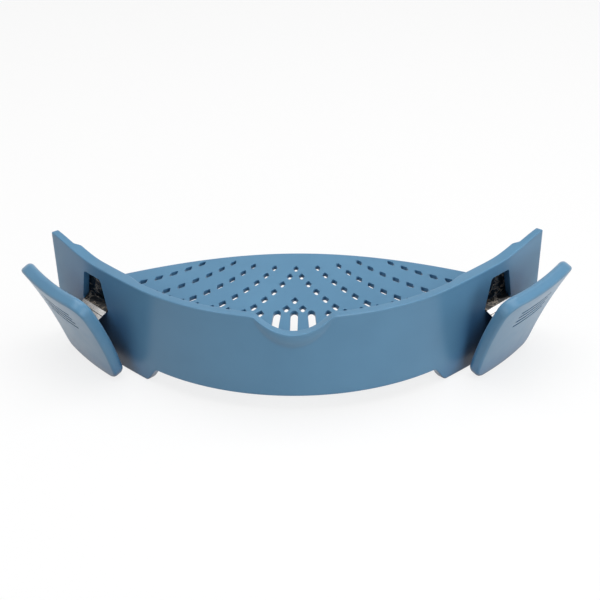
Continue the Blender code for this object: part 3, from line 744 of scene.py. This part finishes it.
def pad_mesh():
    """The pad's closed skin: a ring for each step of its rounded edges, and smaller rings over both faces."""
    layers = []
    centre = Vector((0, PAD_LENGTH / 2))

    def face_rings(inset, depth):
        outer = pad_ring(inset)
        for index in range(1, PAD_FACE_RINGS):
            yield [centre.lerp(point, index / PAD_FACE_RINGS) for point in outer], depth

    layers += face_rings(PAD_INNER_ROUND, 0)
    for turn in quarter(2 * ROUND_STEPS):
        layers.append((pad_ring(PAD_INNER_ROUND * (1 - sin(turn))), PAD_INNER_ROUND * (1 - cos(turn))))
    for turn in quarter(ROUND_STEPS):
        depth = PAD_THICKNESS - PAD_OUTER_ROUND * (1 - sin(turn))
        layers.append((pad_ring(PAD_OUTER_ROUND * (1 - cos(turn))), depth))
    layers += reversed(list(face_rings(PAD_OUTER_ROUND, PAD_THICKNESS)))
    work = bmesh.new()
    rings = [[work.verts.new(pad_point(p.x, p.y, depth)) for p in ring] for ring, depth in layers]
    join_rings(work, rings)
    for ring, depth in ((rings[0], 0), (rings[-1], PAD_THICKNESS)):
        hub = work.verts.new(pad_point(centre.x, centre.y, depth))
        for index in range(len(ring)):
            work.faces.new((ring[index - 1], ring[index], hub))
    return mesh_from("pad_cover", work)


def moved_outline(points, shift):
    return [(x + shift, y) for x, y in points]


def pad_cutters(side, place):
    """The pocket for the core, the window for the spring, and the grip grooves."""
    outline = pad_outline(PAD_CORE_MARGIN - FIT_GAP, PAD_CORE_CORNER, PAD_CORE_CORNER)
    depth = PAD_CORE_THICKNESS + 2 * FIT_GAP
    pocket = bend_to_pad(outline_mesh("pad_pocket", [outline], depth), PAD_SKIN + depth / 2)
    depth = PAD_SKIN + 2 * OVERRUN
    low = CLIMB - PAD_WINDOW_SILL
    outline = rectangle(SPRING_WIDTH / 2 + 2 * FIT_GAP, low, low + PAD_WINDOW_HEIGHT, WINDOW_CORNER)
    outline = moved_outline(outline, side * PAD_FORWARD)
    middle = PAD_SKIN + PAD_CORE_THICKNESS / 2 - depth / 2
    window = bend_to_pad(outline_mesh("pad_window", [outline], depth), middle)
    slits = []
    half = GROOVE_WIDTH / 2
    for index in range(GROOVE_COUNT):
        height = PAD_LENGTH - GROOVE_FROM_TOP - index * GROOVE_PITCH
        slits.append(rectangle(GROOVE_LENGTH / 2, height - half, height + half, GROOVE_CORNER))
    grooves = bend_to_pad(outline_mesh("grip_grooves", slits, 2 * GROOVE_DEPTH), PAD_THICKNESS)
    meshes = (("pad_pocket", pocket), ("pad_window", window), ("grip_grooves", grooves))
    return [new_object(name, mesh, place) for name, mesh in meshes]


def make_pad(side_name, side):
    place = clip_matrix(side) @ pad_matrix(side)
    pad = new_object(side_name + "_pad", pad_mesh(), place)
    cut(pad, *pad_cutters(side, place))
    settle(pad)
    smooth(pad)
    return pad


def spring_path():
    """The strip's fold line in the clip's YZ plane, from its inner leg's top to its outer leg's end."""
    span = LEG_END - LEG_START
    leg = [pad_leg_point(LEG_START + span * index / ARC_STEPS) for index in range(ARC_STEPS + 1)]
    corners = [
        (INSERT_LEG_Y, SPRING_INNER_LEG_TOP),
        (INSERT_LEG_Y, SPRING_FLOOR_HEIGHT),
        tuple(pad_leg_point(CLIMB)),
        tuple(leg[0]),
    ]
    path = round_corners(corners, [SPRING_BEND] * len(corners), closed=False)
    return path + [tuple(point) for point in leg[1:]]


def make_spring(side_name, side):
    """The steel strip: a swept ribbon, thickened and with its long edges rounded."""
    path = [Vector(point) for point in spring_path()]
    fine = [path[0]]
    for first, second in zip(path, path[1:]):
        count = max(1, ceil((second - first).length / SPRING_PITCH))
        fine += [first.lerp(second, step / count) for step in range(1, count + 1)]
    reach = INSERT_LEG_Y - pad_leg_point(LEG_START).x
    half = SPRING_WIDTH / 2
    across = [-half, -half / 2, 0, half / 2, half]
    work = bmesh.new()
    rows = []
    for point in fine:
        turn = Matrix.Rotation(side * PAD_TURN * ease((INSERT_LEG_Y - point.x) / reach), 4, "Z")
        rows.append([work.verts.new(turn @ Vector((x, point.x, point.y))) for x in across])
    lengths = [0]
    for first, second in zip(fine, fine[1:]):
        lengths.append(lengths[-1] + (second - first).length)
    layout = work.loops.layers.uv.new("strip")
    for row in range(len(rows) - 1):
        first, second = rows[row], rows[row + 1]
        for index in range(len(first) - 1):
            face = work.faces.new((first[index], first[index + 1], second[index + 1], second[index]))
            places = ((index, row), (index + 1, row), (index + 1, row + 1), (index, row + 1))
            for loop, (column, line) in zip(face.loops, places):
                loop[layout].uv = (across[column] + half, lengths[line])
    strip = new_object(side_name + "_spring", mesh_from("spring", work), clip_matrix(side))
    shell = strip.modifiers.new("thickness", "SOLIDIFY")
    shell.thickness = SPRING_THICKNESS
    shell.offset = 0
    rounding = strip.modifiers.new("rounded_edges", "BEVEL")
    rounding.width = SPRING_EDGE_ROUND
    rounding.segments = SPRING_EDGE_SEGMENTS
    rounding.limit_method = "ANGLE"
    rounding.angle_limit = SPRING_EDGE_ANGLE
    apply_modifiers(strip)
    settle(strip)
    smooth(strip)
    return strip


def new_material(name):
    made = bpy.data.materials.new(name)
    made.use_nodes = True
    tree = made.node_tree
    tree.nodes.clear()
    output = tree.nodes.new("ShaderNodeOutputMaterial")
    shader = tree.nodes.new("ShaderNodeBsdfPrincipled")
    tree.links.new(shader.outputs["BSDF"], output.inputs["Surface"])
    return made, tree, shader


def noise(tree, scale, detail, stretch=(1, 1, 1)):
    """Noise in object space, in features of about 1 / scale metres, optionally stretched."""
    place = tree.nodes.new("ShaderNodeTexCoord")
    mapping = tree.nodes.new("ShaderNodeMapping")
    mapping.inputs["Scale"].default_value = stretch
    texture = tree.nodes.new("ShaderNodeTexNoise")
    texture.inputs["Scale"].default_value = scale
    texture.inputs["Detail"].default_value = detail
    tree.links.new(place.outputs["Object"], mapping.inputs["Vector"])
    tree.links.new(mapping.outputs["Vector"], texture.inputs["Vector"])
    return texture.outputs["Fac"]


def ramp(tree, source, stops):
    """Maps a value through colours at positions."""
    made = tree.nodes.new("ShaderNodeValToRGB")
    elements = made.color_ramp.elements
    while len(elements) < len(stops):
        elements.new(1)
    for element, (position, colour) in zip(elements, stops):
        element.position = position
        element.color = colour if len(colour) == 4 else (*colour, 1)
    tree.links.new(source, made.inputs["Fac"])
    return made.outputs["Color"]


def grey(value):
    return (value, value, value, 1)


def bump(tree, source, strength, height, below=None):
    made = tree.nodes.new("ShaderNodeBump")
    made.inputs["Strength"].default_value = strength
    made.inputs["Distance"].default_value = height
    tree.links.new(source, made.inputs["Height"])
    if below:
        tree.links.new(below, made.inputs["Normal"])
    return made.outputs["Normal"]


def mix_colours(tree, first, second, blend_type):
    """A node that mixes two colours, and its result."""
    mix = tree.nodes.new("ShaderNodeMix")
    mix.data_type = "RGBA"
    mix.blend_type = blend_type
    tree.links.new(first, mix.inputs[MIX_FIRST_COLOUR])
    tree.links.new(second, mix.inputs[MIX_SECOND_COLOUR])
    return mix, mix.outputs[MIX_COLOUR_RESULT]


def paint_occlusion_shade(tree, tone):
    """Paints shade into a colour in grooves, corners and between nearby parts, where less light gets in."""
    occlusion = tree.nodes.new("ShaderNodeAmbientOcclusion")
    occlusion.samples = PAINTED_SHADE_SAMPLES
    occlusion.inputs["Distance"].default_value = PAINTED_SHADE_REACH
    shade = ramp(tree, occlusion.outputs["AO"], PAINTED_SHADE_STOPS)
    mix, colour = mix_colours(tree, tone, shade, "MULTIPLY")
    mix.inputs["Factor"].default_value = 1
    return colour


def silicone_material():
    """Satin blue silicone: slow shifts of tone, a fine moulded grain, faint flow marks, and painted shade in
    its creases and between nearby parts.
    """
    made, tree, shader = new_material("blue_silicone")
    tone = ramp(tree, noise(tree, *SILICONE_TONE_NOISE), SILICONE_TONE_STOPS)
    # Painted shade: the base colour is darkened in creases, grooves and between the pads and the wings
    tree.links.new(paint_occlusion_shade(tree, tone), shader.inputs["Base Color"])
    gloss = ramp(tree, noise(tree, *SILICONE_GLOSS_NOISE), SILICONE_GLOSS_STOPS)
    tree.links.new(gloss, shader.inputs["Roughness"])
    grain = bump(tree, noise(tree, *SILICONE_GRAIN_NOISE), *SILICONE_GRAIN)
    flow = bump(tree, noise(tree, *SILICONE_FLOW_NOISE), *SILICONE_FLOW, grain)
    tree.links.new(flow, shader.inputs["Normal"])
    shader.inputs["IOR"].default_value = SILICONE_IOR
    shader.inputs["Specular IOR Level"].default_value = SILICONE_SPECULAR
    shader.inputs["Sheen Weight"].default_value = SILICONE_SHEEN
    shader.inputs["Sheen Roughness"].default_value = SILICONE_SHEEN_ROUGHNESS
    return made


def steel_material():
    """Polished spring strip with fine brushing, a painted dark and streaky reflection where it stands inside
    the wing, and one painted dark reflection line across it outside.
    """
    made, tree, shader = new_material("polished_steel")
    bright = ramp(tree, noise(tree, *STEEL_TONE_NOISE), STEEL_TONE_STOPS)
    # Painted reflection: dark with light streaks inside the wing, and one dark line across the strip outside
    # it
    dark = ramp(tree, noise(tree, *REFLECTION_STREAK_NOISE), REFLECTION_STREAK_STOPS)
    place = tree.nodes.new("ShaderNodeTexCoord")
    depth = tree.nodes.new("ShaderNodeSeparateXYZ")
    tree.links.new(place.outputs["UV"], depth.inputs["Vector"])
    inside = tree.nodes.new("ShaderNodeMapRange")
    inside.inputs["From Min"].default_value = STRIP_START
    inside.inputs["From Max"].default_value = STRIP_END
    tree.links.new(depth.outputs["Y"], inside.inputs["Value"])
    painted_reflection_share = ramp(tree, inside.outputs["Result"], PAINTED_REFLECTION_STOPS)
    metal = ramp(tree, inside.outputs["Result"], METAL_STOPS)
    tree.links.new(metal, shader.inputs["Metallic"])
    mix, colour = mix_colours(tree, bright, dark, "MIX")
    tree.links.new(painted_reflection_share, mix.inputs["Factor"])
    tree.links.new(colour, shader.inputs["Base Color"])
    gloss = ramp(tree, noise(tree, *STEEL_GLOSS_NOISE), STEEL_GLOSS_STOPS)
    tree.links.new(gloss, shader.inputs["Roughness"])
    waves = bump(tree, noise(tree, *STEEL_WAVE_NOISE), *STEEL_WAVES)
    tree.links.new(waves, shader.inputs["Normal"])
    return made


def nylon_material():
    """Dark glass-filled nylon with a mottled moulded surface."""
    made, tree, shader = new_material("dark_nylon")
    tone = ramp(tree, noise(tree, *NYLON_TONE_NOISE), NYLON_TONE_STOPS)
    tree.links.new(tone, shader.inputs["Base Color"])
    gloss = ramp(tree, noise(tree, *NYLON_GLOSS_NOISE), NYLON_GLOSS_STOPS)
    tree.links.new(gloss, shader.inputs["Roughness"])
    grain = bump(tree, noise(tree, *NYLON_GRAIN_NOISE), *NYLON_GRAIN)
    tree.links.new(grain, shader.inputs["Normal"])
    return made


def paint(thing, finish):
    thing.data.materials.clear()
    thing.data.materials.append(finish)


# Places of the colours among a mixing node's sockets, which share their names with other kinds
MIX_FIRST_COLOUR = 6
MIX_SECOND_COLOUR = 7
MIX_COLOUR_RESULT = 2

# In the looks below, a noise is given as scale, detail and stretch, and a bump as strength and height
# Colours are linear values

# Silicone
SILICONE_TONE_NOISE = (38, 3)
SILICONE_TONE_STOPS = (
    (0.35, (0.099, 0.246, 0.398)),
    (0.65, (0.107, 0.262, 0.420)),
)
SILICONE_GLOSS_NOISE = (160, 2)
SILICONE_GLOSS_STOPS = (
    (0.3, grey(0.29)),
    (0.7, grey(0.34)),
)
SILICONE_GRAIN_NOISE = (1100, 1)
SILICONE_GRAIN = (0.06, 0.08 * MM)
SILICONE_FLOW_NOISE = (90, 1)
SILICONE_FLOW = (0.12, 0.4 * MM)
SILICONE_IOR = 1.46
SILICONE_SPECULAR = 0.5
SILICONE_SHEEN = 0.08
SILICONE_SHEEN_ROUGHNESS = 0.5

# Painted shade in its creases and between nearby parts: how many samples, how far the shading looks for
# walls, and the painted shade's colour for each share of open space
PAINTED_SHADE_SAMPLES = 8
PAINTED_SHADE_REACH = 16 * MM
PAINTED_SHADE_STOPS = (
    (0.20, (0.06, 0.13, 0.21)),
    (0.50, (0.60, 0.77, 0.90)),
    (0.90, grey(1)),
)

# Steel
STEEL_TONE_NOISE = (300, 3, (0.15, 1, 1))
STEEL_TONE_STOPS = (
    (0.3, (0.66, 0.65, 0.64)),
    (0.7, (0.84, 0.83, 0.82)),
)
STEEL_GLOSS_NOISE = (900, 3, (0.06, 1, 1))
STEEL_GLOSS_STOPS = (
    (0.3, grey(0.10)),
    (0.7, grey(0.20)),
)
STEEL_WAVE_NOISE = (130, 1)
STEEL_WAVES = (0.12, 0.4 * MM)

# The spring has a painted dark, streaky reflection inside the wing, and is bright outside with one painted
# dark reflection line across it
# The painted reflection's and the metal's stops run over the span of strip just outside the wing's face;
# inside, the strip is less metallic, so that the painted streaks show
STRIP_SPAN = 5 * MM
STRIP_START = INNER_LENGTH
STRIP_END = INNER_LENGTH + STRIP_SPAN
PAINTED_REFLECTION_STOPS = (
    (0, grey(1)),
    (0.08, grey(0)),
    (0.55, grey(0)),
    (0.59, grey(0.9)),
    (0.63, grey(0.9)),
    (0.67, grey(0)),
)
METAL_STOPS = (
    (0, grey(0.35)),
    (0.08, grey(1)),
)
REFLECTION_STREAK_NOISE = (330, 3, (0.35, 1, 1.5))
REFLECTION_STREAK_STOPS = (
    (0.49, (0.008, 0.008, 0.008)),
    (0.55, (0.050, 0.043, 0.036)),
    (0.59, (0.300, 0.245, 0.190)),
    (0.63, (0.040, 0.034, 0.028)),
    (0.68, (0.008, 0.008, 0.008)),
)

# Nylon
NYLON_TONE_NOISE = (700, 5)
NYLON_TONE_STOPS = (
    (0.3, (0.022, 0.024, 0.028)),
    (0.75, (0.050, 0.053, 0.060)),
)
NYLON_GLOSS_NOISE = (400, 3)
NYLON_GLOSS_STOPS = (
    (0.3, grey(0.42)),
    (0.7, grey(0.62)),
)
NYLON_GRAIN_NOISE = (1800, 3)
NYLON_GRAIN = (0.25, 0.1 * MM)

# Floor: its tone to the camera, its tone to the light it bounces, and how much shadow shows
FLOOR_SEEN = 0.95
FLOOR_BOUNCE = 0.4
FLOOR_ROUGHNESS = 0.9
SHADOW_SHARE = 0.20
FLOOR_SIZE = 4.0
FLOOR_DROP = 0.2 * MM

# World: its light, and how high above the horizon it is white to the camera and then dim
WORLD_STRENGTH = 0.22
HORIZON_TOP = 0.25
DARK_ABOVE = 0.5
CEILING = 0.25

# Lamps: name, elevation and azimuth in degrees, distance, size and power
LAMP_AIM_HEIGHT = 30 * MM
LAMPS = (
    ("overhead", 88, 90, 950 * MM, 1050 * MM, 8),
    ("front_right", 29, 45, 1540 * MM, 600 * MM, 2.8),
    ("right", 20, 75, 1500 * MM, 600 * MM, 3),
    ("left", 25, -45, 1500 * MM, 600 * MM, 2.2),
    ("low_right", 8, 26, 1500 * MM, 400 * MM, 4.6),
    ("rear_right", 49, 133, 1600 * MM, 600 * MM, 1.6),
    ("rear_left", 49, 227, 1600 * MM, 600 * MM, 1),
)

silicone = silicone_material()
steel = steel_material()
nylon = nylon_material()

bowl = make_bowl()
paint(bowl, silicone)
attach(bowl, "strainer")
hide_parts("strainer_bowl")

for side_name, side in SIDES:
    pad = make_pad(side_name, side)
    paint(pad, silicone)
    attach(pad, side_name + "_clip")
    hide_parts(side_name + "_pad_cover")

    spring = make_spring(side_name, side)
    paint(spring, steel)
    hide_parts(side_name + "_clip_spring")
    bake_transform(spring)

    for node in (side_name + "_wing_insert", side_name + "_pad_core"):
        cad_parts[node].data.materials.clear()
        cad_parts[node].data.materials.append(nylon)


def camera_ray_share(tree):
    """1 for rays from the camera and for those seen in gloss or through glass, else 0."""
    path = tree.nodes.new("ShaderNodeLightPath")
    first = tree.nodes.new("ShaderNodeMath")
    first.operation = "MAXIMUM"
    second = tree.nodes.new("ShaderNodeMath")
    second.operation = "MAXIMUM"
    tree.links.new(path.outputs["Is Camera Ray"], first.inputs[0])
    tree.links.new(path.outputs["Is Glossy Ray"], first.inputs[1])
    tree.links.new(first.outputs[0], second.inputs[0])
    tree.links.new(path.outputs["Is Transmission Ray"], second.inputs[1])
    return second.outputs[0]


def make_floor():
    """A pale floor that looks white to the camera and still shows some of the object's shadow."""
    work = bmesh.new()
    bmesh.ops.create_grid(work, x_segments=1, y_segments=1, size=FLOOR_SIZE / 2)
    floor = new_object("floor", mesh_from("floor", work), Matrix.Translation((0, 0, -FLOOR_DROP)))
    made, tree, shader = new_material("pale_floor")
    shader.inputs["Roughness"].default_value = FLOOR_ROUGHNESS
    seen = camera_ray_share(tree)
    tone = ramp(tree, seen, ((0, grey(FLOOR_BOUNCE)), (1, grey(FLOOR_SEEN))))
    tree.links.new(tone, shader.inputs["Base Color"])
    glow = tree.nodes.new("ShaderNodeEmission")
    mix = tree.nodes.new("ShaderNodeMixShader")
    share = tree.nodes.new("ShaderNodeMath")
    share.operation = "MULTIPLY"
    share.inputs[1].default_value = 1 - SHADOW_SHARE
    tree.links.new(seen, share.inputs[0])
    tree.links.new(share.outputs[0], mix.inputs["Fac"])
    tree.links.new(shader.outputs["BSDF"], mix.inputs[1])
    tree.links.new(glow.outputs["Emission"], mix.inputs[2])
    output = next(node for node in tree.nodes if node.type == "OUTPUT_MATERIAL")
    tree.links.new(mix.outputs["Shader"], output.inputs["Surface"])
    floor.data.materials.append(made)


def make_world():
    """White to the camera up to well above the horizon, with a dim ceiling over it."""
    world = bpy.data.worlds.new("studio")
    bpy.context.scene.world = world
    world.use_nodes = True
    tree = world.node_tree
    tree.nodes.clear()
    output = tree.nodes.new("ShaderNodeOutputWorld")
    lit = tree.nodes.new("ShaderNodeBackground")
    lit.inputs["Strength"].default_value = WORLD_STRENGTH
    lit.inputs["Color"].default_value = grey(1)
    place = tree.nodes.new("ShaderNodeTexCoord")
    height = tree.nodes.new("ShaderNodeSeparateXYZ")
    tree.links.new(place.outputs["Generated"], height.inputs["Vector"])
    seen = tree.nodes.new("ShaderNodeBackground")
    sky = ramp(tree, height.outputs["Z"], ((HORIZON_TOP, grey(1)), (DARK_ABOVE, grey(CEILING))))
    tree.links.new(sky, seen.inputs["Color"])
    mix = tree.nodes.new("ShaderNodeMixShader")
    tree.links.new(camera_ray_share(tree), mix.inputs["Fac"])
    tree.links.new(lit.outputs["Background"], mix.inputs[1])
    tree.links.new(seen.outputs["Background"], mix.inputs[2])
    tree.links.new(mix.outputs["Shader"], output.inputs["Surface"])


def add_area(name, elevation, azimuth, distance, size, power):
    """Square lamp aimed at the object, at an elevation and an azimuth from the front towards the right."""
    light = bpy.data.lights.new(name, "AREA")
    light.size = size
    light.energy = power
    lamp = bpy.data.objects.new(name, light)
    bpy.context.scene.collection.objects.link(lamp)
    level, turn = cos(radians(elevation)), radians(azimuth)
    way = Vector((sin(turn) * level, -cos(turn) * level, sin(radians(elevation))))
    lamp.location = Vector((0, 0, LAMP_AIM_HEIGHT)) + way * distance
    lamp.rotation_euler = (-way).to_track_quat("-Z", "Y").to_euler()


def make_camera():
    """The photograph's view, fitted to the strainer's rim, holes and wing edges."""
    elevation, azimuth, roll = CAMERA_ELEVATION, CAMERA_AZIMUTH, CAMERA_ROLL
    back = Vector((sin(azimuth) * cos(elevation), -cos(azimuth) * cos(elevation), sin(elevation)))
    right = (-back).cross(Vector((0, 0, 1))).normalized()
    up = right.cross(-back)
    turned_right = right * cos(roll) + up * sin(roll)
    turned_up = up * cos(roll) - right * sin(roll)
    target = Vector(CAMERA_TARGET) + Vector((0, CENTRE_Y, 0))
    matrix = Matrix((turned_right, turned_up, back)).transposed().to_4x4()
    matrix.translation = target + back * CAMERA_DISTANCE
    data = bpy.data.cameras.new("camera")
    data.sensor_width = SENSOR_WIDTH
    data.lens = PIXELS_PER_MM * (CAMERA_DISTANCE / MM) * SENSOR_WIDTH / PHOTO_WIDTH
    camera = bpy.data.objects.new("camera", data)
    bpy.context.scene.collection.objects.link(camera)
    camera.matrix_world = matrix
    bpy.context.scene.camera = camera


make_floor()
make_world()
for lamp in LAMPS:
    add_area(*lamp)
make_camera()
bpy.context.scene.view_settings.view_transform = "Standard"
